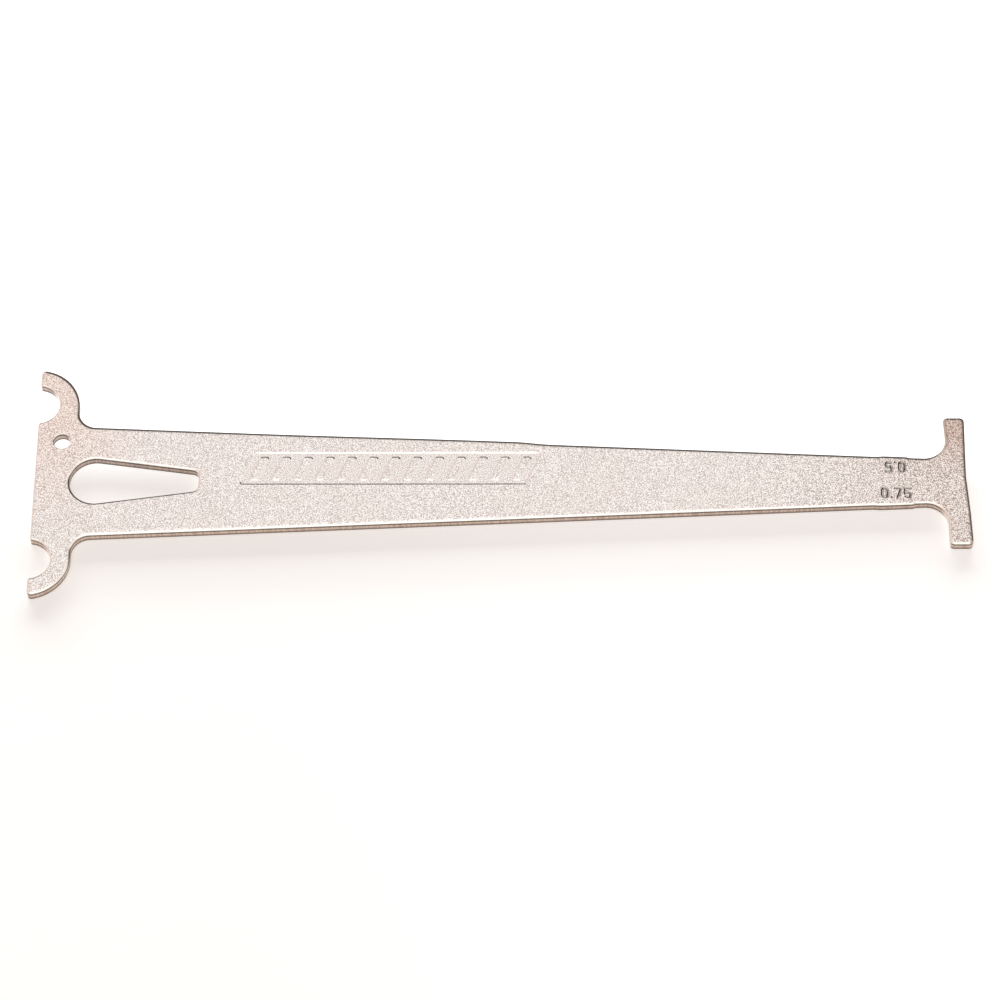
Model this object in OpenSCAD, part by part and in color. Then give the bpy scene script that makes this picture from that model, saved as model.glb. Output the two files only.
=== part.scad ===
// Chain wear gauge: one stamped sheet of plated steel.
// A roller notch at the head hooks on a chain roller. The tip at the far end of the same side drops
// between two links once the chain has stretched by the percentage stamped beside that tip.
// The gauge lies flat: its bottom is at z = 0, it runs along x, and its centre line is y = 0.

/* [Chain] */
// Pitch of the chain that is measured
chain_pitch = 12.7; // [12.5:0.05:12.9]
// Diameter of the chain's rollers
roller_d = 7.75; // [7.5:0.05:8]
// Pitches that the gauge spans
pitches = 13; // [11:1:15]
// Stretch in percent that the +y tip tells
wear_a = 0.5; // [0.3:0.05:0.7]
// Stretch in percent that the -y tip tells
wear_b = 0.75; // [0.5:0.05:1]

/* [Sheet] */
// Thickness of the sheet
sheet_t = 1.8; // [1.4:0.1:2.2]
// Half width of the blade where it leaves the head
blade_head_w = 11.15; // [10.8:0.05:11.4]
// Half width of the blade where it meets the crossbar
blade_bar_w = 4.4; // [4.3:0.1:5.5]
// Radius of the inside corners beside the head
head_fillet = 3.25; // [2:0.25:3.5]
// Radius of the inside corners beside the crossbar
bar_fillet = 3.8; // [2:0.1:4]

/* [Head] */
// Width of the head along the gauge
head_w = 7.1; // [6.8:0.1:7.6]
// Distance from the centre line to each roller notch
notch_y = 15.75; // [15.5:0.05:16]
// Depth of the roller notch on the +y side
notch_depth_a = 3.55; // [3.2:0.05:3.8]
// Depth of the roller notch on the -y side
notch_depth_b = 3.7; // [3.2:0.05:3.8]
// Outer radius of the two hooks
hook_r = 7.6; // [7.4:0.1:8]
// Distance from the centre line to the centre of each hook's outer radius
hook_y = 15.3; // [15:0.1:16]
// Radius of the outer corner at each hook's end
hook_corner_r = 0.8; // [0.5:0.1:1.5]

/* [Openings] */
// Diameter of the hanging hole
hang_hole_d = 3; // [2.5:0.1:3.6]
// Distance from the head's edge to the hanging hole
hang_hole_x = 4.4; // [4:0.1:5]
// Distance from the centre line to the hanging hole
hang_hole_y = 8.05; // [8:0.05:8.5]
// Distance from the head's edge to the teardrop opening
drop_x = 6.1; // [5.5:0.1:8]
// Length of the teardrop opening
drop_l = 22.5; // [18:0.5:27]
// Radius of the teardrop's round end
drop_r = 4.55; // [4:0.05:4.8]
// Half height of the teardrop's narrow end
drop_end_h = 2.2; // [1.8:0.1:3]
// Radius of the two corners at the narrow end
drop_corner_r = 1.3; // [0.8:0.1:1.6]

/* [Crossbar] */
// Half length of the crossbar
bar_h = 12.85; // [12:0.05:14]
// Width of the crossbar's +y arm
bar_w = 3.5; // [3:0.1:4]
// Radius of the outer corners of both arms
bar_corner_r = 0.8; // [0.5:0.1:1.5]
// How far the +y arm widens towards the head at its end
bar_flare = 0.2; // [0:0.05:0.4]
// How far the outer edge falls back from the +y tip to the middle
bar_waist = 0.14; // [0:0.02:0.3]
// How far the outer edge falls back from the -y tip to the shoulder
bar_shoulder = 0.2; // [0:0.02:0.3]
// Place of the waist above the centre line
bar_waist_y = 0.9; // [0:0.1:2]
// Place of the shoulder below the centre line
bar_shoulder_y = 6.5; // [4:0.25:8]

/* [Numbers] */
// Depth of the stamped numbers
number_depth = 0.16; // [0.08:0.02:0.3]
// Height of a figure
figure_h = 2.2; // [1.8:0.1:2.3]
// Width of a figure
figure_w = 1.35; // [1.2:0.05:1.5]
// Width of a figure's stroke
stroke_w = 0.36; // [0.28:0.02:0.42]
// Gap between figures
figure_gap = 0.3; // [0.2:0.05:0.5]
// Distance from the crossbar to the middle of the numbers
number_x = 8.8; // [8:0.1:10]
// Distance from the centre line to the middle of the +y number
number_a_y = 2.75; // [2.6:0.05:2.8]
// Distance from the centre line to the middle of the -y number
number_b_y = 2.5; // [2.4:0.05:2.7]
// Rise of the blade's edges beside the numbers, pushed out by the stamping
number_swell = 0.15; // [0:0.05:0.25]

/* [Grip field] */
// Depth of the ribbed grip field
field_depth = 0.14; // [0.06:0.02:0.3]
// Length of the field
field_l = 49.6; // [40:0.1:52]
// Height of the field
field_h = 6.4; // [5:0.2:6.8]
// Distance from the head's edge to the field's lower corner
field_x = 35.7; // [34:0.1:38]
// Distance from the centre line to the field's lower edge
field_y = -0.7; // [-2:0.1:-0.4]
// Lean of the field and its ribs in degrees
field_lean = 23; // [15:1:28]
// Spacing of the ribs
rib_pitch = 3.8; // [3:0.1:6]
// Width of a rib
rib_w = 1.5; // [1:0.1:2]
// Flat border between the ribs and the field's edge
rib_border = 0.9; // [0.5:0.1:1.2]
// Rise of the blade's edge beside the field, pushed out by the stamping
field_swell = 0.3; // [0:0.05:0.4]

/* [Hidden] */
$fn = 96;
// Largest turn between two points of an arc: in the outline, round its small corners and in a figure
arc_step = 4;
corner_step = 10;
figure_step = 18;
// Reach of a cut past the face that it opens
over = 1;
percent = 0.01;

// Distance from each roller notch's floor to the tip on its side
reach_a = pitches * chain_pitch * (1 + wear_a * percent) - roller_d;
reach_b = pitches * chain_pitch * (1 + wear_b * percent) - roller_d;
tip_a_x = notch_depth_a + reach_a;
tip_b_x = notch_depth_b + reach_b;
gauge_l = max(tip_a_x, tip_b_x);
bar_x = tip_a_x - bar_w;

hook_x = head_w - hook_r;
field_shift = field_h * tan(field_lean);
field_end_x = field_x + field_l + field_shift / 2;
number_mid_x = bar_x - number_x;
number_a_l = 2 * figure_w + 2 * figure_gap + stroke_w;
number_b_l = number_a_l + figure_gap + figure_w;

// Place of a seven's foot in the figure's width
seven_foot = 0.25;
// Run of an edge's swelling, from where it starts to its full rise
swell_run = 1.5;
blade_slope = (blade_bar_w - blade_head_w) / (bar_x - head_w);

function unit(v) = v / norm(v);
// Centre of the round of radius r that touches both edges leaving the corner p along u and v
function corner_round(p, u, v, r) = p + unit(u + v) * r / sin(acos(u * v) / 2);
function blade_w(x) = blade_head_w + blade_slope * (x - head_w);
// Point on the blade's edge at x, raised by rise
function edge_point(x, rise = 0) = [x, blade_w(x) + rise];

// Points of an arc that turns from one angle to another
function arc(centre, r, from, to, turn = arc_step) =
    let (steps = ceil(abs(to - from) / turn))
    [for (i = [0 : steps]) let (a = from + (to - from) * i / steps) centre + r * [cos(a), sin(a)]];

// Blade's edge beside a number of length l
function number_edge(l) = [
    edge_point(number_mid_x - l / 2 - swell_run),
    edge_point(number_mid_x - l / 2, number_swell),
    edge_point(number_mid_x + l / 2, number_swell),
    edge_point(number_mid_x + l / 2 + swell_run / 2)
];

// Blade's edge beside the grip field, swollen most near the field's far end
function field_edge() = [
    edge_point(field_x),
    edge_point(field_end_x - 2 * swell_run, field_swell),
    edge_point(field_end_x + 2 * swell_run)
];

// One side of the outline, from the head's edge round the hook and along the blade to the tip at tip_x;
// the arm is wider by flare at its end
function side_outline(blade_edge, tip_x, flare = 0) =
    let (
        along = unit([1, blade_slope]),
        facing_blade = 270 + atan(blade_slope),
        head_round = corner_round(edge_point(head_w), [0, 1], along, head_fillet),
        bar_round = corner_round(edge_point(bar_x), [0, 1], -along, bar_fillet),
        // Centre of the corner at the hook's end, seen from the hook's own centre
        end_x = hook_corner_r - hook_x,
        end_y = sqrt(pow(hook_r - hook_corner_r, 2) - pow(end_x, 2)),
        hook_start = atan2(end_y, end_x)
    )
    concat(
        arc([hook_corner_r, hook_y + end_y], hook_corner_r, 180, hook_start, corner_step),
        arc([hook_x, hook_y], hook_r, hook_start - arc_step, 0),
        arc(head_round, head_fillet, 180, facing_blade),
        blade_edge,
        arc(bar_round, bar_fillet, facing_blade, 360),
        arc([bar_x - flare + bar_corner_r, bar_h - bar_corner_r], bar_corner_r, 180, 90, corner_step),
        arc([tip_x - bar_corner_r, bar_h - bar_corner_r], bar_corner_r, 90, 0, corner_step)
    );

function flipped(points) = [for (i = [len(points) - 1 : -1 : 0]) [points[i].x, -points[i].y]];

// Head, blade and crossbar in one outline
module plate_outline() {
    side_a = side_outline(concat(field_edge(), number_edge(number_a_l)), tip_a_x, bar_flare);
    side_b = side_outline(number_edge(number_b_l), tip_b_x);
    waist = [[tip_a_x - bar_waist, bar_waist_y], [tip_b_x - bar_shoulder, -bar_shoulder_y]];
    polygon(concat(side_a, waist, flipped(side_b)));
}

// Round hole through the whole sheet
module bore(centre, r) {
    translate([centre.x, centre.y, -over]) cylinder(h = sheet_t + 2 * over, r = r);
}

module teardrop() {
    round_mid = [drop_x + drop_r, 0];
    corner_mid = [drop_x + drop_l - drop_corner_r, drop_end_h - drop_corner_r];
    apart = corner_mid - round_mid;
    tangent_a = atan2(apart.y, apart.x) + acos((drop_r - drop_corner_r) / norm(apart));
    polygon(concat(
        arc(round_mid, drop_r, tangent_a, 360 - tangent_a),
        arc([corner_mid.x, -corner_mid.y], drop_corner_r, -tangent_a, 0),
        arc(corner_mid, drop_corner_r, 0, tangent_a)
    ));
}

// Upright slot of width w and height h with round ends, its corner at the origin
module stadium(w, h) {
    r = w / 2;
    polygon(concat(
        arc([r, h - r], r, 0, 180, figure_step),
        arc([r, r], r, 180, 360, figure_step)
    ));
}

module figure_zero() {
    difference() {
        stadium(figure_w, figure_h);
        translate([stroke_w, stroke_w]) stadium(figure_w - 2 * stroke_w, figure_h - 2 * stroke_w);
    }
}

module figure_five() {
    bowl_r = figure_w / 2;
    bowl_from = -150;
    bowl_to = 140;
    bowl_top = bowl_r * (1 + sin(bowl_to));
    translate([0, figure_h - stroke_w]) square([figure_w, stroke_w]);
    translate([0, bowl_top - stroke_w]) square([stroke_w, figure_h - bowl_top + stroke_w / 2]);
    polygon(concat(
        arc([bowl_r, bowl_r], bowl_r, bowl_from, bowl_to, figure_step),
        arc([bowl_r, bowl_r], bowl_r - stroke_w, bowl_to, bowl_from, figure_step)
    ));
}

module figure_seven() {
    foot_x = figure_w * seven_foot;
    translate([0, figure_h - stroke_w]) square([figure_w, stroke_w]);
    polygon([
        [foot_x, 0], [foot_x + stroke_w, 0],
        [figure_w, figure_h - stroke_w], [figure_w - stroke_w, figure_h - stroke_w]
    ]);
}

module figure_point() {
    translate([stroke_w / 2, stroke_w / 2]) circle(stroke_w / 2);
}

// Places its children side by side from the origin: a figure, a point, then more figures
module number_row() {
    step = figure_w + figure_gap;
    children(0);
    translate([step, 0]) figure_point();
    for (i = [1 : $children - 1])
        translate([i * step + stroke_w + figure_gap, 0]) children(i);
}

// Numbers of the two tips, each upright when its own side is at the bottom
module numbers() {
    translate([number_mid_x, number_a_y]) rotate(180) translate([-number_a_l / 2, -figure_h / 2])
        number_row() { figure_zero(); figure_five(); }
    translate([number_mid_x - number_b_l / 2, -number_b_y - figure_h / 2])
        number_row() { figure_zero(); figure_seven(); figure_five(); }
}

// Leaning strip from x0 to x1, whose corners lie on the field's lean
module leaning(x0, x1, y0, y1) {
    low = (y0 - field_y) * tan(field_lean);
    high = (y1 - field_y) * tan(field_lean);
    polygon([[x0 + low, y0], [x1 + low, y0], [x1 + high, y1], [x0 + high, y1]]);
}

// Sunk field for the thumb, with ribs left standing
module grip_field() {
    room = field_l - 2 * rib_border - rib_w;
    last = floor(room / rib_pitch);
    first_x = field_x + rib_border + (room - last * rib_pitch) / 2;
    difference() {
        leaning(field_x, field_x + field_l, field_y, field_y + field_h);
        for (i = [0 : last])
            leaning(first_x + i * rib_pitch, first_x + i * rib_pitch + rib_w,
                    field_y + rib_border, field_y + field_h - rib_border);
    }
}

// Cut through the whole sheet
module through() {
    translate([0, 0, -over]) linear_extrude(sheet_t + 2 * over) children();
}

// Cut down from the top face to the given depth
module sunk(depth) {
    translate([0, 0, sheet_t - depth]) linear_extrude(depth + over) children();
}

module gauge_plate() {
    color([0.80, 0.77, 0.74])
    translate([-gauge_l / 2, 0, 0])
    difference() {
        linear_extrude(sheet_t) plate_outline();
        bore([notch_depth_a - roller_d / 2, notch_y], roller_d / 2);
        bore([notch_depth_b - roller_d / 2, -notch_y], roller_d / 2);
        bore([hang_hole_x, hang_hole_y], hang_hole_d / 2);
        through() teardrop();
        sunk(number_depth) numbers();
        sunk(field_depth) grip_field();
    }
}

gauge_plate();
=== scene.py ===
"""Looks of the chain wear gauge: the stamped and plated sheet, the floor, the light and the camera."""

import math

import bpy
import numpy as np
from mathutils import Matrix, Vector
from mathutils.geometry import delaunay_2d_cdt


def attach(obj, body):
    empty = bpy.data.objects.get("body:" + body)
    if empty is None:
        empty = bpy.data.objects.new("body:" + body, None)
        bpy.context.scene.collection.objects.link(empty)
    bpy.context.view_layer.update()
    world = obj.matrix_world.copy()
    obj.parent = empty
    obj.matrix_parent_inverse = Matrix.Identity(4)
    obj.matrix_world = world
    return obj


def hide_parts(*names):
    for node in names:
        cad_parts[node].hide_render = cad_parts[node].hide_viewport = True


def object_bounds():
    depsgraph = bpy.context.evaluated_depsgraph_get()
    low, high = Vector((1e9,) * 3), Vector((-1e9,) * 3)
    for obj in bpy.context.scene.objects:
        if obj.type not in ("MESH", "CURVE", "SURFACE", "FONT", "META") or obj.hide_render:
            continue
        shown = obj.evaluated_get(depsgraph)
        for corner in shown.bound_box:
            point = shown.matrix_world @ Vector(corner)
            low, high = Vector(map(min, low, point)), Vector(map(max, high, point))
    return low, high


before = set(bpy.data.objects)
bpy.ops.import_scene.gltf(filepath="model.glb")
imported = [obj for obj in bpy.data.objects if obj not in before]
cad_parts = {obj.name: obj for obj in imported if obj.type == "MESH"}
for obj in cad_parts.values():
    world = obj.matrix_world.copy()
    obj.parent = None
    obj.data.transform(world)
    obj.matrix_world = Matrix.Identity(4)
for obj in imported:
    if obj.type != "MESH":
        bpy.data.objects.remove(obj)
cad_low, cad_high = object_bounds()

# Sizes are in millimetres. Plate points have x from the head's edge and y from the centre line.
MM = 0.001

# Chain
CHAIN_PITCH = 12.7
ROLLER_R = 3.875
PITCHES = 13
STRETCH_A = 0.005
STRETCH_B = 0.0075

# Sheet
SHEET_T = (cad_high.z - cad_low.z) / MM
BLADE_HEAD_W = 11.15
BLADE_BAR_W = 4.4
HEAD_FILLET = 3.25
BAR_FILLET = 3.8

# Head
HEAD_W = 7.1
NOTCH_Y = 15.75
NOTCH_DEPTH_A = 3.55
NOTCH_DEPTH_B = 3.7
HOOK_R = 7.6
HOOK_Y = 15.3
HOOK_CORNER_R = 0.8

# Openings
HANG_HOLE_R = 1.5
HANG_HOLE = Vector((4.4, 8.05))
DROP_X = 6.1
DROP_L = 22.5
DROP_R = 4.55
DROP_END_H = 2.2
DROP_CORNER_R = 1.3

# Crossbar
BAR_H = 12.85
BAR_W = 3.5
BAR_CORNER_R = 0.8
BAR_FLARE = 0.2
BAR_WAIST = 0.14
BAR_SHOULDER = 0.2
BAR_WAIST_Y = 0.9
BAR_SHOULDER_Y = 6.5

# Numbers
NUMBER_DEPTH = 0.16
FIGURE_H = 2.2
FIGURE_W = 1.35
STROKE_W = 0.36
FIGURE_GAP = 0.3
NUMBER_X = 8.8
NUMBER_A_Y = 2.75
NUMBER_B_Y = 2.5
NUMBER_SWELL = 0.15

# Grip field
FIELD_DEPTH = 0.14
FIELD_L = 49.6
FIELD_H = 6.4
FIELD_X = 35.7
FIELD_Y = -0.7
FIELD_LEAN = 23
RIB_PITCH = 3.8
RIB_W = 1.5
RIB_BORDER = 0.9
FIELD_SWELL = 0.3
SWELL_RUN = 1.5

# Edges: the press rolls the upper rim over, shears the wall below it and breaks the sheet off at the foot
ROLL_W = 0.9
ROLL_H = 0.3
DROP_ROLL_W = 0.5
DROP_ROLL_H = 0.26
HOLE_ROLL_W = 0.14
HOLE_ROLL_H = 0.12
NOTCH_ROLL_W = 0.35
ROLL_SPREAD = 0.4
FOOT_R = 0.08
LIP_R = 0.45
SHEAR_SHARE = 0.45
BREAK_BACK = 0.03
STAMP_SLOPE = 0.08
FIELD_SLOPE = 0.16
FIGURE_CORNER_R = 0.09
FIELD_CORNER_R = 0.35

# Side that the walls of the numbers face where their colour is painted with shade
SHADED_SIDE = Vector((0.8, 0.6))

# Where the plating grows dull, towards the crossbar and its upper arm, in metres of the frame
TARNISH_X = (0.06, 0.078)
TARNISH_Y = (-0.001, 0.012)

# Where the floor's glow grows, in metres of the frame
GLOW_X = (-0.05, 0.03)
GLOW_Y = (-0.0014, 0.009)

# Largest turn in degrees between two points of an arc
ARC_TURN = 3
SMALL_TURN = 10
FIGURE_TURN = 15

# Points of a rounded loop that lie nearer than this are one
NEAR = 0.004

# Camera, fitted to the photograph
VIEW_ELEVATION = 58.5
VIEW_AZIMUTH = 1.651
VIEW_ROLL = -1.434
VIEW_DISTANCE = 0.793336
VIEW_AIM = Vector((-0.000259, -0.003016, 0.0002))
LENS = 164.875


# Plane geometry

def heading(degrees):
    return Vector((math.cos(math.radians(degrees)), math.sin(math.radians(degrees))))


def angle_of(v):
    return math.degrees(math.atan2(v.y, v.x))


def arc(centre, r, start, end, turn=ARC_TURN):
    """Points of an arc that turns from one angle to another, in degrees."""
    steps = max(1, math.ceil(abs(end - start) / turn))
    return [centre + r * heading(start + (end - start) * i / steps) for i in range(steps + 1)]


def circle(centre, r, turn=ARC_TURN):
    return arc(centre, r, 0, 360, turn)[:-1]


def turned(points, degrees, shift):
    """Points turned round the origin and then moved."""
    spin = Matrix.Rotation(math.radians(degrees), 2)
    return [spin @ p + shift for p in points]


def rounded(points, r, turn=ARC_TURN, least=20):
    """A closed loop whose corners sharper than least degrees are arcs of radius r."""
    loop = []
    for before, corner, after in zip(points[-1:] + points[:-1], points, points[1:] + points[:1]):
        came = (corner - before).normalized()
        goes = (after - corner).normalized()
        bend = math.degrees(math.atan2(came.x * goes.y - came.y * goes.x, came.dot(goes)))
        if abs(bend) < least:
            loop.append(corner)
            continue
        side = math.copysign(1, bend)
        cut = r * math.tan(math.radians(abs(bend) / 2))
        centre = corner - came * cut + side * r * Vector((-came.y, came.x))
        start = angle_of(came) - side * 90
        loop += arc(centre, r, start, start + bend, turn)
    return [p for before, p in zip(loop[-1:] + loop[:-1], loop) if (p - before).length > NEAR]


def mirrored(points):
    return [Vector((p.x, -p.y)) for p in reversed(points)]


# Outline of the sheet

REACH_A = PITCHES * CHAIN_PITCH * (1 + STRETCH_A) - 2 * ROLLER_R
REACH_B = PITCHES * CHAIN_PITCH * (1 + STRETCH_B) - 2 * ROLLER_R
TIP_A_X = NOTCH_DEPTH_A + REACH_A
TIP_B_X = NOTCH_DEPTH_B + REACH_B
GAUGE_L = max(TIP_A_X, TIP_B_X)
BAR_X = TIP_A_X - BAR_W
NUMBER_MID_X = BAR_X - NUMBER_X
BLADE_SLOPE = (BLADE_BAR_W - BLADE_HEAD_W) / (BAR_X - HEAD_W)


def edge_point(x, rise=0):
    """Point on the blade's edge at x, raised by rise."""
    return Vector((x, BLADE_HEAD_W + BLADE_SLOPE * (x - HEAD_W) + rise))


def swelling(stops, steps=6):
    """Blade's edge through stops of place and rise, easing from each to the next."""
    points = []
    for (x0, rise0), (x1, rise1) in zip(stops, stops[1:]):
        for i in range(steps):
            s = i / steps
            points.append(edge_point(x0 + (x1 - x0) * s, rise0 + (rise1 - rise0) * s * s * (3 - 2 * s)))
    return points + [edge_point(*stops[-1])]


def corner_round(corner, u, v, r):
    """Centre of the round of radius r that touches both edges leaving the corner along u and v."""
    return corner + (u + v).normalized() * r / math.sin(u.angle(v) / 2)


def notch(depth):
    """Roller notch with its two rounded lips, from the side of the centre line outwards."""
    mid = Vector((depth - ROLLER_R, NOTCH_Y))
    out = math.sqrt((ROLLER_R + LIP_R) ** 2 - (LIP_R - mid.x) ** 2)
    lean = math.degrees(math.atan2(out, LIP_R - mid.x))
    near, far = Vector((LIP_R, NOTCH_Y - out)), Vector((LIP_R, NOTCH_Y + out))
    return (
        arc(near, LIP_R, 180, 180 - lean, SMALL_TURN)
        + arc(mid, ROLLER_R, -lean, lean)[1:-1]
        + arc(far, LIP_R, 180 + lean, 180, SMALL_TURN)
    )


def side_outline(notch_depth, blade_edge, tip_x, flare=0):
    """One side of the outline, clockwise: notch, hook, blade and arm, up to the tip at tip_x."""
    hook = Vector((HEAD_W - HOOK_R, HOOK_Y))
    end_x = HOOK_CORNER_R - hook.x
    hook_end = Vector((HOOK_CORNER_R, HOOK_Y + math.sqrt((HOOK_R - HOOK_CORNER_R) ** 2 - end_x ** 2)))
    hook_start = angle_of(hook_end - hook)
    along = Vector((1, BLADE_SLOPE)).normalized()
    facing_blade = 270 + angle_of(along)
    up = Vector((0, 1))
    head_round = corner_round(edge_point(HEAD_W), up, along, HEAD_FILLET)
    bar_round = corner_round(edge_point(BAR_X), up, -along, BAR_FILLET)
    arm_round = Vector((BAR_X - flare + BAR_CORNER_R, BAR_H - BAR_CORNER_R))
    tip_round = Vector((tip_x - BAR_CORNER_R, BAR_H - BAR_CORNER_R))
    return (
        notch(notch_depth)
        + arc(hook_end, HOOK_CORNER_R, 180, hook_start, SMALL_TURN)
        + arc(hook, HOOK_R, hook_start, 0)[1:]
        + arc(head_round, HEAD_FILLET, 180, facing_blade)
        + blade_edge
        + arc(bar_round, BAR_FILLET, facing_blade, 360)
        + arc(arm_round, BAR_CORNER_R, 180, 90, SMALL_TURN)
        + arc(tip_round, BAR_CORNER_R, 90, 0, SMALL_TURN)
    )


def number_length(figures):
    return figures * FIGURE_W + figures * FIGURE_GAP + STROKE_W


def number_stops(figures):
    half = number_length(figures) / 2
    return [
        (NUMBER_MID_X - half - SWELL_RUN, 0),
        (NUMBER_MID_X - half, NUMBER_SWELL),
        (NUMBER_MID_X + half, NUMBER_SWELL),
        (NUMBER_MID_X + half + SWELL_RUN / 2, 0),
    ]


def plate_outline():
    """Head, blade and crossbar in one loop, anticlockwise."""
    field_end = FIELD_X + FIELD_L + FIELD_H * math.tan(math.radians(FIELD_LEAN)) / 2
    field_stops = [
        (FIELD_X, 0), (field_end - 2 * SWELL_RUN, FIELD_SWELL), (field_end + 2 * SWELL_RUN, 0)
    ]
    edge_a = swelling(field_stops) + swelling(number_stops(2))
    side_a = side_outline(NOTCH_DEPTH_A, edge_a, TIP_A_X, BAR_FLARE)
    side_b = side_outline(NOTCH_DEPTH_B, swelling(number_stops(3)), TIP_B_X)
    waist = [
        Vector((TIP_A_X - BAR_WAIST, BAR_WAIST_Y)),
        Vector((TIP_B_X - BAR_SHOULDER, -BAR_SHOULDER_Y)),
    ]
    return (side_a + waist + mirrored(side_b))[::-1]


def teardrop():
    round_mid = Vector((DROP_X + DROP_R, 0))
    corner_mid = Vector((DROP_X + DROP_L - DROP_CORNER_R, DROP_END_H - DROP_CORNER_R))
    apart = corner_mid - round_mid
    tangent = angle_of(apart) + math.degrees(math.acos((DROP_R - DROP_CORNER_R) / apart.length))
    return (
        arc(round_mid, DROP_R, tangent, 360 - tangent)
        + arc(Vector((corner_mid.x, -corner_mid.y)), DROP_CORNER_R, -tangent, 0, 6)
        + arc(corner_mid, DROP_CORNER_R, 0, tangent, 6)
    )


# Figures: each is its outer loop, anticlockwise, and the loops of the islands left inside it

def stadium(x, y, w, h):
    r = w / 2
    low, high = Vector((x + r, y + r)), Vector((x + r, y + h - r))
    return arc(high, r, 0, 180, FIGURE_TURN) + arc(low, r, 180, 360, FIGURE_TURN)


def figure_zero():
    inner_w, inner_h = FIGURE_W - 2 * STROKE_W, FIGURE_H - 2 * STROKE_W
    return stadium(0, 0, FIGURE_W, FIGURE_H), [stadium(STROKE_W, STROKE_W, inner_w, inner_h)]


def figure_five():
    """Top bar and left stroke that run into an open bowl."""
    r = FIGURE_W / 2
    mid = Vector((r, r))
    bowl_from, bowl_to = -150, 140
    meets = math.degrees(math.acos((STROKE_W - r) / r))
    outer = arc(mid, r, bowl_from, meets, FIGURE_TURN)
    inner = arc(mid, r - STROKE_W, bowl_to, bowl_from, FIGURE_TURN)
    foot_y = r * (1 + math.sin(math.radians(bowl_to))) - STROKE_W
    corners = [(STROKE_W, FIGURE_H - STROKE_W), (FIGURE_W, FIGURE_H - STROKE_W)]
    corners += [(FIGURE_W, FIGURE_H), (0, FIGURE_H), (0, foot_y), (STROKE_W, foot_y)]
    return rounded(outer + [Vector(c) for c in corners] + inner, FIGURE_CORNER_R, 30, 35), []


def figure_seven():
    foot_x = FIGURE_W / 4
    corners = [
        (foot_x, 0), (foot_x + STROKE_W, 0), (FIGURE_W, FIGURE_H - STROKE_W), (FIGURE_W, FIGURE_H),
        (0, FIGURE_H), (0, FIGURE_H - STROKE_W), (FIGURE_W - STROKE_W, FIGURE_H - STROKE_W),
    ]
    return rounded([Vector(c) for c in corners], FIGURE_CORNER_R, 30), []


def figure_point():
    return circle(Vector((STROKE_W / 2, STROKE_W / 2)), STROKE_W / 2, 30), []


def number_row(figures, degrees, middle):
    """Figures side by side with a point after the first, turned round their middle."""
    step = FIGURE_W + FIGURE_GAP
    starts = [0, step] + [i * step + STROKE_W + FIGURE_GAP for i in range(1, len(figures))]
    shapes = [figures[0], figure_point] + figures[1:]
    centre = Vector((number_length(len(figures)) / 2, FIGURE_H / 2))
    row = []
    for shape, x in zip(shapes, starts):
        outer, islands = shape()
        shift = Vector((x, 0)) - centre
        placed = [turned([p + shift for p in loop], degrees, middle) for loop in [outer] + islands]
        row.append((placed[0], placed[1:]))
    return row


def leaning(x0, x1, y0, y1):
    """Strip from x0 to x1 whose corners lie on the grip field's lean."""
    lean = math.tan(math.radians(FIELD_LEAN))
    low, high = (y0 - FIELD_Y) * lean, (y1 - FIELD_Y) * lean
    corners = [(x0 + low, y0), (x1 + low, y0), (x1 + high, y1), (x0 + high, y1)]
    return rounded([Vector(c) for c in corners], FIELD_CORNER_R, 15)


def grip_field():
    room = FIELD_L - 2 * RIB_BORDER - RIB_W
    last = math.floor(room / RIB_PITCH)
    first_x = FIELD_X + RIB_BORDER + (room - last * RIB_PITCH) / 2
    ribs = [
        leaning(x, x + RIB_W, FIELD_Y + RIB_BORDER, FIELD_Y + FIELD_H - RIB_BORDER)
        for x in (first_x + i * RIB_PITCH for i in range(last + 1))
    ]
    return leaning(FIELD_X, FIELD_X + FIELD_L, FIELD_Y, FIELD_Y + FIELD_H), ribs


# Profiles: steps of (inset towards the metal, height, tilt of the normal in degrees, wall, stamped: painted shade)

def roll_room(loop, width, tight):
    """Share of the full inset at each point of a loop, less near its tight outer corners and inside
    the circles of tight, which are (centre, radius, width)."""
    points = np.array(loop)
    came, goes = points - np.roll(points, 1, 0), np.roll(points, -1, 0) - points
    bend = np.arctan2(came[:, 0] * goes[:, 1] - came[:, 1] * goes[:, 0], (came * goes).sum(1))
    reach = (np.hypot(*came.T) + np.hypot(*goes.T)) / 2
    radius = np.where(bend > 0.05, reach / np.maximum(bend, 0.05), width * 2)
    most = 0.85 * radius
    for centre, r, tight_width in tight:
        inside = np.linalg.norm(points - np.array(centre), axis=1) < r
        most[inside] = np.minimum(most[inside], tight_width)
    apart = np.linalg.norm(points[:, None] - points[None], axis=2)
    return np.minimum(1, (most[None] + ROLL_SPREAD * apart).min(1) / width)


def cut_profile(roll_w, roll_h):
    """Edge of the sheet from its underside to its face: broken foot, sheared wall, rolled rim."""
    steps = [
        (BREAK_BACK + FOOT_R * (1 - math.cos(math.radians(a))), FOOT_R * (1 + math.sin(math.radians(a))), a, 1, 0)
        for a in (-90, -60, -30, 0)
    ]
    wall_h = SHEET_T - roll_h
    sheared_y = wall_h * (1 - SHEAR_SHARE)
    steps += [(BREAK_BACK, sheared_y - 0.06, 0, 1, 0), (0, sheared_y, 0, 1, 0)]
    for a in range(0, 91, 10):
        c, s = math.cos(math.radians(a)), math.sin(math.radians(a))
        tilt = math.degrees(math.atan2(s / roll_h, c / roll_w))
        steps.append((roll_w * (1 - c), SHEET_T - roll_h * (1 - s), tilt, max(0, 1 - a / 30), 0))
    return steps


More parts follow.
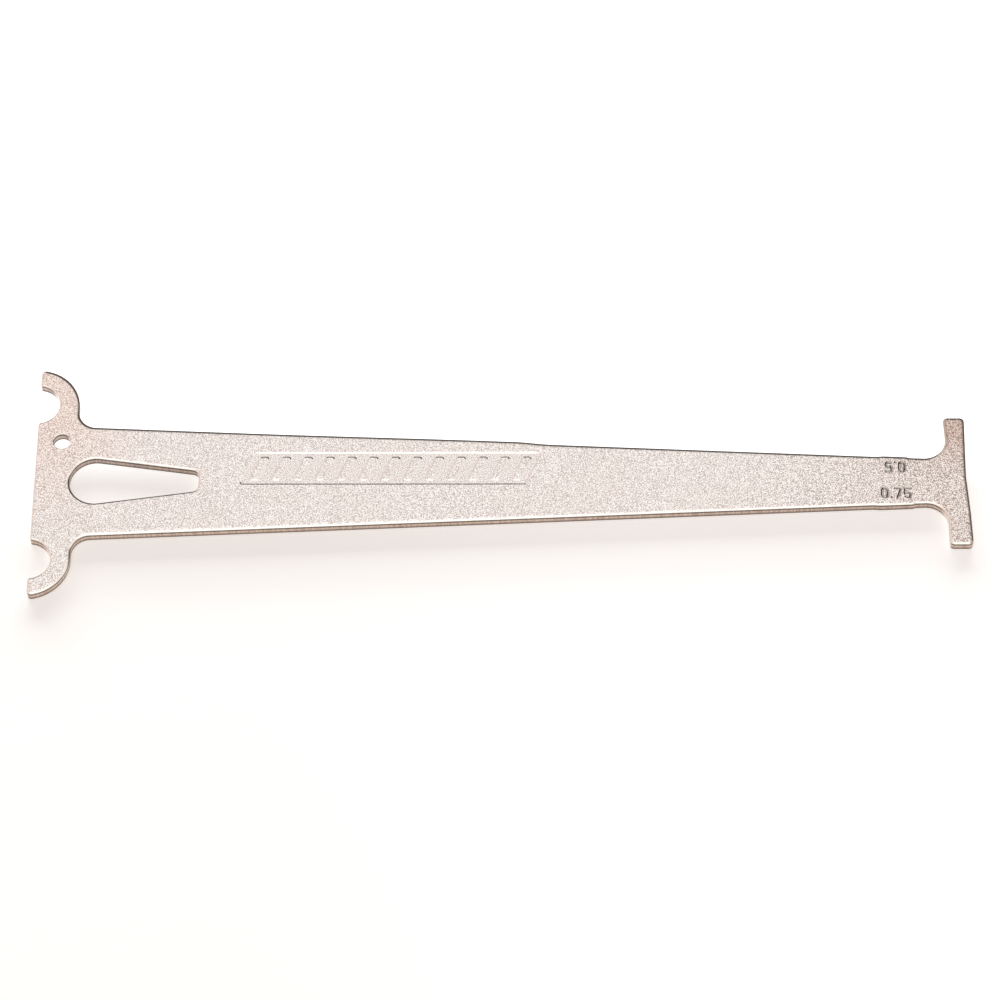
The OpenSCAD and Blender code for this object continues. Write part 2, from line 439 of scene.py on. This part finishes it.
def stamp_profile(depth, slope, shade, steps=6):
    """Soft wall of a stamped shape, from its floor to the face; shade is how strongly painted shade darkens the
    wall and the floor.
    """
    profile = []
    for i in range(steps + 1):
        s = i / steps
        climb = depth * 6 * s * (1 - s)
        tilt = math.degrees(math.atan2(2 * slope, climb))
        height = SHEET_T - depth * (1 - s * s * (3 - 2 * s))
        profile.append((slope * (2 * s - 1), height, tilt, 0, shade * min(1, 5 * (1 - s))))
    return profile


class Sheet:
    """Points, normals, marks and faces of the plate, collected ring by ring."""

    def __init__(self):
        self.points, self.normals, self.faces = [], [], []
        self.wall, self.stamped = [], []

    def ring(self, loop, step, room):
        """One ring round a loop that has the metal on its left; its point numbers."""
        inset, height, tilt, wall, stamped = step
        c, s = math.cos(math.radians(tilt)), math.sin(math.radians(tilt))
        first = len(self.points)
        for before, p, after, share in zip(loop[-1:] + loop[:-1], loop, loop[1:] + loop[:1], room):
            came, goes = (p - before).normalized(), (after - p).normalized()
            both = Vector((-came.y - goes.y, came.x + goes.x))
            placed = p + both * (inset * share / (1 + came.dot(goes)))
            out = -both.normalized()
            self.points.append((placed.x, placed.y, height))
            self.normals.append(Vector((out.x * c, out.y * c, s * share)).normalized())
            self.wall.append(wall)
            # Painted shade: strongest where the wall faces the shaded side, and a tenth on the other side
            self.stamped.append(stamped * min(1, max(0.1, 2.2 * out.dot(SHADED_SIDE) + 0.9)))
        return list(range(first, first + len(loop)))

    def edge(self, loop, profile, tight=()):
        """Rings of a profile round a loop, joined from the lowest up; the first and the last ring."""
        room = roll_room(loop, max(step[0] for step in profile), tight)
        rings = [self.ring(loop, step, room) for step in profile]
        for low, high in zip(rings, rings[1:]):
            for i in range(len(loop)):
                j = (i + 1) % len(loop)
                self.faces.append((low[i], low[j], high[j], high[i]))
        return rings[0], rings[-1]

    def fill(self, rings, up):
        """Flat faces between rings of one height, leaving out what an even number of rings holds."""
        ids = [i for ring in rings for i in ring]
        flat = [Vector(self.points[i][:2]) for i in ids]
        pairs, first = [], 0
        for ring in rings:
            pairs += [(first + i, first + (i + 1) % len(ring)) for i in range(len(ring))]
            first += len(ring)
        made = delaunay_2d_cdt(flat, pairs, [], 1, 1e-6)
        source = [ids[origin[0]] for origin in made[3]]
        xy = np.array(flat)
        a, b = xy[[p[0] for p in pairs]], xy[[p[1] for p in pairs]]
        for face in made[2]:
            corners = [source[i] for i in face]
            x, y = np.mean([self.points[i][:2] for i in corners], axis=0)
            spans = (a[:, 1] > y) != (b[:, 1] > y)
            p, q = a[spans], b[spans]
            crossings = p[:, 0] + (y - p[:, 1]) * (q[:, 0] - p[:, 0]) / (q[:, 1] - p[:, 1])
            if np.count_nonzero(crossings > x) % 2:
                self.faces.append(tuple(corners if up else corners[::-1]))

    def sink(self, outer, islands, profile):
        """A stamped shape with its floor; the rings that bound it in the face."""
        walls = [self.edge(outer[::-1], profile)] + [self.edge(loop, profile) for loop in islands]
        self.fill([low for low, _ in walls], True)
        return [high for _, high in walls]

    def object(self, name):
        mesh = bpy.data.meshes.new(name)
        half = GAUGE_L / 2
        mesh.from_pydata([((x - half) * MM, y * MM, z * MM) for x, y, z in self.points], [], self.faces)
        mesh.polygons.foreach_set("use_smooth", [True] * len(mesh.polygons))
        mesh.normals_split_custom_set_from_vertices(self.normals)
        for mark, values in (("wall", self.wall), ("stamped", self.stamped)):
            mesh.attributes.new(mark, "FLOAT", "POINT").data.foreach_set("value", values)
        made = bpy.data.objects.new(name, mesh)
        bpy.context.scene.collection.objects.link(made)
        return made


def plated_plate():
    sheet = Sheet()
    rim = cut_profile(ROLL_W, ROLL_H)
    drop_rim = cut_profile(DROP_ROLL_W, DROP_ROLL_H)
    hole_rim = cut_profile(HOLE_ROLL_W, HOLE_ROLL_H)
    notches = [
        (Vector((NOTCH_DEPTH_A - ROLLER_R, NOTCH_Y)), ROLLER_R + LIP_R / 2, NOTCH_ROLL_W),
        (Vector((NOTCH_DEPTH_B - ROLLER_R, -NOTCH_Y)), ROLLER_R + LIP_R / 2, NOTCH_ROLL_W),
    ]
    cuts = [
        sheet.edge(plate_outline(), rim, notches),
        sheet.edge(teardrop()[::-1], drop_rim),
        sheet.edge(circle(HANG_HOLE, HANG_HOLE_R, 6)[::-1], hole_rim),
    ]
    face = [high for _, high in cuts]
    stamp = stamp_profile(NUMBER_DEPTH, STAMP_SLOPE, 1)
    number_a = number_row([figure_zero, figure_five], 180, Vector((NUMBER_MID_X, NUMBER_A_Y)))
    number_b = number_row([figure_zero, figure_seven, figure_five], 0, Vector((NUMBER_MID_X, -NUMBER_B_Y)))
    for outer, islands in number_a + number_b:
        face += sheet.sink(outer, islands, stamp)
    face += sheet.sink(*grip_field(), stamp_profile(FIELD_DEPTH, FIELD_SLOPE, 0))
    sheet.fill(face, True)
    sheet.fill([low for low, _ in cuts], False)
    return sheet.object("plated_gauge")


# Materials

def node(tree, kind, inputs=None, **settings):
    """A new shader node with its settings, and with values or links on its inputs."""
    made = tree.nodes.new("ShaderNode" + kind)
    for key, value in settings.items():
        setattr(made, key, value)
    for key, value in (inputs or {}).items():
        if isinstance(value, bpy.types.NodeSocket):
            tree.links.new(value, made.inputs[key])
        else:
            made.inputs[key].default_value = value
    return made


def maths(tree, operation, *values):
    return node(tree, "Math", dict(enumerate(values)), operation=operation).outputs[0]


def noise(tree, where, scale, detail=2, roughness=0.5):
    made = node(tree, "TexNoise", {"Vector": where, "Scale": scale, "Detail": detail, "Roughness": roughness})
    return made.outputs["Fac"]


def spread(tree, value, low, high, to_low, to_high):
    """The value from low to high, taken smoothly to a new range."""
    made = node(
        tree, "MapRange",
        {"Value": value, "From Min": low, "From Max": high, "To Min": to_low, "To Max": to_high},
        interpolation_type="SMOOTHSTEP",
    )
    return made.outputs["Result"]


def blended(tree, share, first, second, how="MIX"):
    made = node(tree, "Mix", {0: share, 6: first, 7: second}, data_type="RGBA", blend_type=how)
    return made.outputs[2]


def new_material(name):
    material = bpy.data.materials.new(name)
    material.use_nodes = True
    material.node_tree.nodes.clear()
    return material, material.node_tree


def satin_nickel():
    """Nickel plate with a sandy grain on the face, unplated tan metal on the sheared walls, and painted shade and
    light on edges and numbers.
    """
    material, tree = new_material("satin_nickel")
    coordinates = node(tree, "TexCoord")
    place = coordinates.outputs["Object"]
    axes = node(tree, "SeparateXYZ", {0: place}).outputs
    normal = node(tree, "SeparateXYZ", {0: coordinates.outputs["Normal"]}).outputs
    wall = node(tree, "Attribute", attribute_name="wall").outputs["Fac"]
    stamped = node(tree, "Attribute", attribute_name="stamped").outputs["Fac"]

    grain = noise(tree, place, 5400, 0, 0.5)
    cloud = noise(tree, place, 90, 3, 0.5)
    head = spread(tree, axes["X"], -0.066, -0.076, 0, 0.12)
    bar = spread(tree, axes["X"], 0.035, 0.078, 0, 1)
    ends = maths(tree, "MAXIMUM", bar, head)
    sand = spread(tree, grain, 0.31, 0.65, 0, 1)
    light = blended(tree, sand, (0.5, 0.42, 0.395, 1), (0.925, 0.87, 0.83, 1))
    strong = blended(tree, sand, (0.32, 0.24, 0.2, 1), (0.93, 0.87, 0.83, 1))
    plate = blended(tree, ends, light, strong)
    plate = blended(tree, spread(tree, cloud, 0.3, 0.7, 0, 0.12), plate, (0.76, 0.64, 0.57, 1))
    warm = maths(
        tree, "MULTIPLY", spread(tree, axes["X"], -0.06, -0.078, 0, 1), spread(tree, axes["Y"], -0.012, 0.014, 0, 1)
    )
    plate = blended(tree, warm, plate, (1, 0.92, 0.88, 1), "MULTIPLY")
    dull = maths(
        tree, "MULTIPLY", spread(tree, axes["X"], *TARNISH_X, 0, 1), spread(tree, axes["Y"], *TARNISH_Y, 0.15, 1)
    )
    plate = blended(tree, dull, plate, (0.8, 0.68, 0.64, 1), "MULTIPLY")
    # Steep rims take one pale tan colour in place of most of the grain
    plate = blended(tree, spread(tree, normal["Z"], 0.99, 0.93, 0, 0.85), plate, (0.84, 0.78, 0.7, 1))
    # Painted shade: slopes that face left are warmed and a little darkened, and darker where the plate is dull
    left = blended(tree, dull, (0.93, 0.85, 0.83, 1), (0.62, 0.55, 0.52, 1))
    plate = blended(tree, spread(tree, normal["X"], -0.03, -0.2, 0, 1), plate, left, "MULTIPLY")
    # Painted shade on the crossbar's slopes that face right
    painted_bar_shade = maths(tree, "MULTIPLY", bar, spread(tree, normal["X"], 0.03, 0.3, 0, 0.75))
    plate = blended(tree, painted_bar_shade, plate, (0.4, 0.32, 0.28, 1), "MULTIPLY")
    # Painted shade: slopes that face right and back are darkened almost to black
    far_side = maths(tree, "ADD", normal["X"], maths(tree, "MULTIPLY", normal["Y"], 1.8))
    painted_far_shade = spread(tree, far_side, 0.16, 0.46, 0, 0.96)
    plate = blended(tree, painted_far_shade, plate, (0.05, 0.04, 0.032, 1))
    # Painted shade, near black, in the walls and floors of the numbers
    plate = blended(tree, stamped, plate, (0.02, 0.012, 0.008, 1))

    # Colour of the walls by height: tan bands of the sheared and broken metal, with a painted dark reflection in a
    # line under the rim and a painted contact shadow at the foot
    ramp = node(tree, "ValToRGB", {0: maths(tree, "DIVIDE", axes["Z"], SHEET_T * MM)})
    stops = ramp.color_ramp.elements
    stops[0].position, stops[0].color = 0.0, (0.1, 0.075, 0.06, 1)
    stops[1].position, stops[1].color = 0.88, (0.6, 0.52, 0.46, 1)
    for position, colour in (
        (0.2, (0.4, 0.31, 0.25, 1)), (0.42, (0.86, 0.7, 0.6, 1)), (0.64, (0.78, 0.63, 0.53, 1)),
        (0.75, (0.07, 0.055, 0.045, 1)), (0.81, (0.07, 0.055, 0.045, 1)),
    ):
        stops.new(position).color = colour
    streak_place = node(tree, "Mapping", {"Vector": place, "Scale": (1, 1, 0.08)}).outputs[0]
    streaks = noise(tree, streak_place, 2600, 2, 0.6)
    bare_metal_and_painted_light = blended(tree, spread(tree, streaks, 0.35, 0.65, 0.35, 0), ramp.outputs[0], (0.16, 0.11, 0.08, 1))
    inner = spread(tree, axes["Y"], -0.012, 0.004, 0, 0.9)
    bare_metal_and_painted_light = blended(tree, inner, bare_metal_and_painted_light, (0.68, 0.66, 0.68, 1), "MULTIPLY")
    # Painted light: walls that face left are paled towards cream
    bare_metal_and_painted_light = blended(tree, spread(tree, normal["X"], -0.6, -0.95, 0, 0.85), bare_metal_and_painted_light, (0.92, 0.85, 0.78, 1))
    colour = blended(tree, wall, plate, bare_metal_and_painted_light)

    rough = spread(tree, grain, 0.3, 0.7, 0.4, 0.3)
    rough = maths(tree, "ADD", rough, maths(tree, "MULTIPLY", wall, 0.14))
    relief = maths(tree, "ADD", grain, maths(tree, "MULTIPLY", maths(tree, "MULTIPLY", streaks, wall), 2))
    bump = node(tree, "Bump", {"Strength": 0.5, "Distance": 0.00003, "Height": relief})
    shader = node(
        tree, "BsdfPrincipled",
        {"Base Color": colour, "Metallic": 1, "Roughness": rough, "Normal": bump.outputs[0]},
    )
    node(tree, "OutputMaterial", {"Surface": shader.outputs[0]})
    return material


def seen_directly(tree):
    """1 for rays that show the background: from the camera, or by gloss or transmission."""
    path = node(tree, "LightPath")
    both = maths(tree, "MAXIMUM", path.outputs["Is Camera Ray"], path.outputs["Is Glossy Ray"])
    return maths(tree, "MAXIMUM", both, path.outputs["Is Transmission Ray"])


def white_floor():
    """Pale floor that looks white where nothing shades it, with a warm glow that is whiter at the back."""
    material, tree = new_material("white_floor")
    place = node(tree, "SeparateXYZ", {0: node(tree, "NewGeometry").outputs["Position"]}).outputs
    # Painted light: the glow, seen only by the camera and by gloss, is white behind the gauge, where it lifts the
    # shadows seen in the openings, and weaker and warm in front, where it tints the shadow
    right = spread(tree, place["X"], *GLOW_X, 0, 1)
    front = blended(tree, right, (0.58, 0.53, 0.5, 1), (0.625, 0.575, 0.55, 1))
    back = spread(tree, place["Y"], *GLOW_Y, 0, 1)
    tint = blended(tree, back, front, (1, 1, 1, 1))
    plain = node(tree, "BsdfDiffuse", {"Color": (0.8, 0.8, 0.8, 1)})
    glow = node(tree, "Emission", {"Color": tint, "Strength": 1})
    lit = node(tree, "AddShader", {0: plain.outputs[0], 1: glow.outputs[0]})
    mixed = node(tree, "MixShader", {0: seen_directly(tree), 1: plain.outputs[0], 2: lit.outputs[0]})
    node(tree, "OutputMaterial", {"Surface": mixed.outputs[0]})
    return material


# Stage

def flat_card(name, size_x, size_y, material):
    x, y = size_x / 2, size_y / 2
    mesh = bpy.data.meshes.new(name)
    mesh.from_pydata([(-x, -y, 0), (x, -y, 0), (x, y, 0), (-x, y, 0)], [], [(0, 1, 2, 3)])
    mesh.materials.append(material)
    card = bpy.data.objects.new(name, mesh)
    bpy.context.scene.collection.objects.link(card)
    return card


def make_floor():
    floor = flat_card("floor", 12, 12, white_floor())
    floor.location.z = -0.00002


def softbox(name, place, size, power, gloss=True):
    """Rectangular area light that faces the gauge."""
    lamp = bpy.data.lights.new(name, "AREA")
    lamp.shape = "RECTANGLE"
    lamp.size, lamp.size_y = size
    lamp.energy = power
    made = bpy.data.objects.new(name, lamp)
    made.location = place
    made.rotation_mode = "QUATERNION"
    made.rotation_quaternion = (-Vector(place)).to_track_quat("-Z", "Y")
    made.visible_glossy = gloss
    bpy.context.scene.collection.objects.link(made)


def make_world():
    world = bpy.data.worlds.new("studio")
    world.use_nodes = True
    tree = world.node_tree
    tree.nodes.clear()
    fill = node(tree, "Background", {"Color": (1, 1, 1, 1), "Strength": 0.1})
    white = node(tree, "Background", {"Color": (1, 1, 1, 1), "Strength": 1})
    mixed = node(tree, "MixShader", {0: seen_directly(tree), 1: fill.outputs[0], 2: white.outputs[0]})
    node(tree, "OutputWorld", {"Surface": mixed.outputs[0]})
    bpy.context.scene.world = world


def make_camera():
    elevation, azimuth, roll = (math.radians(a) for a in (VIEW_ELEVATION, VIEW_AZIMUTH, VIEW_ROLL))
    back = Vector((
        math.sin(azimuth) * math.cos(elevation),
        -math.cos(azimuth) * math.cos(elevation),
        math.sin(elevation),
    ))
    right = (-back).cross(Vector((0, 0, 1))).normalized()
    up = right.cross(-back)
    level = Matrix((right, up, back)).transposed()
    data = bpy.data.cameras.new("camera")
    data.lens = LENS
    data.sensor_width = 36
    data.clip_start = 0.01
    camera = bpy.data.objects.new("camera", data)
    turn = level @ Matrix.Rotation(roll, 3, "Z")
    camera.matrix_world = Matrix.Translation(VIEW_AIM + back * VIEW_DISTANCE) @ turn.to_4x4()
    bpy.context.scene.collection.objects.link(camera)
    bpy.context.scene.camera = camera


plate = plated_plate()
plate.data.materials.append(satin_nickel())
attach(plate, "root")
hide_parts("gauge_plate")

make_floor()
softbox("front_top", (-0.1, -0.3, 1.05), (1.0, 0.75), 2.2)
softbox("face", (0, 0.6, 0.98), (1.6, 0.7), 0.45)
softbox("left", (-0.9, 0.62, 0.5), (0.7, 0.7), 1.1, gloss=False)
softbox("low_back", (-0.1, 1.45, 0.17), (1.8, 0.14), 32.5, gloss=False)
softbox("high_back", (-0.1, 1.4, 0.4), (1.8, 0.3), 19, gloss=False)
make_world()
make_camera()
bpy.context.scene.view_settings.view_transform = "Standard"
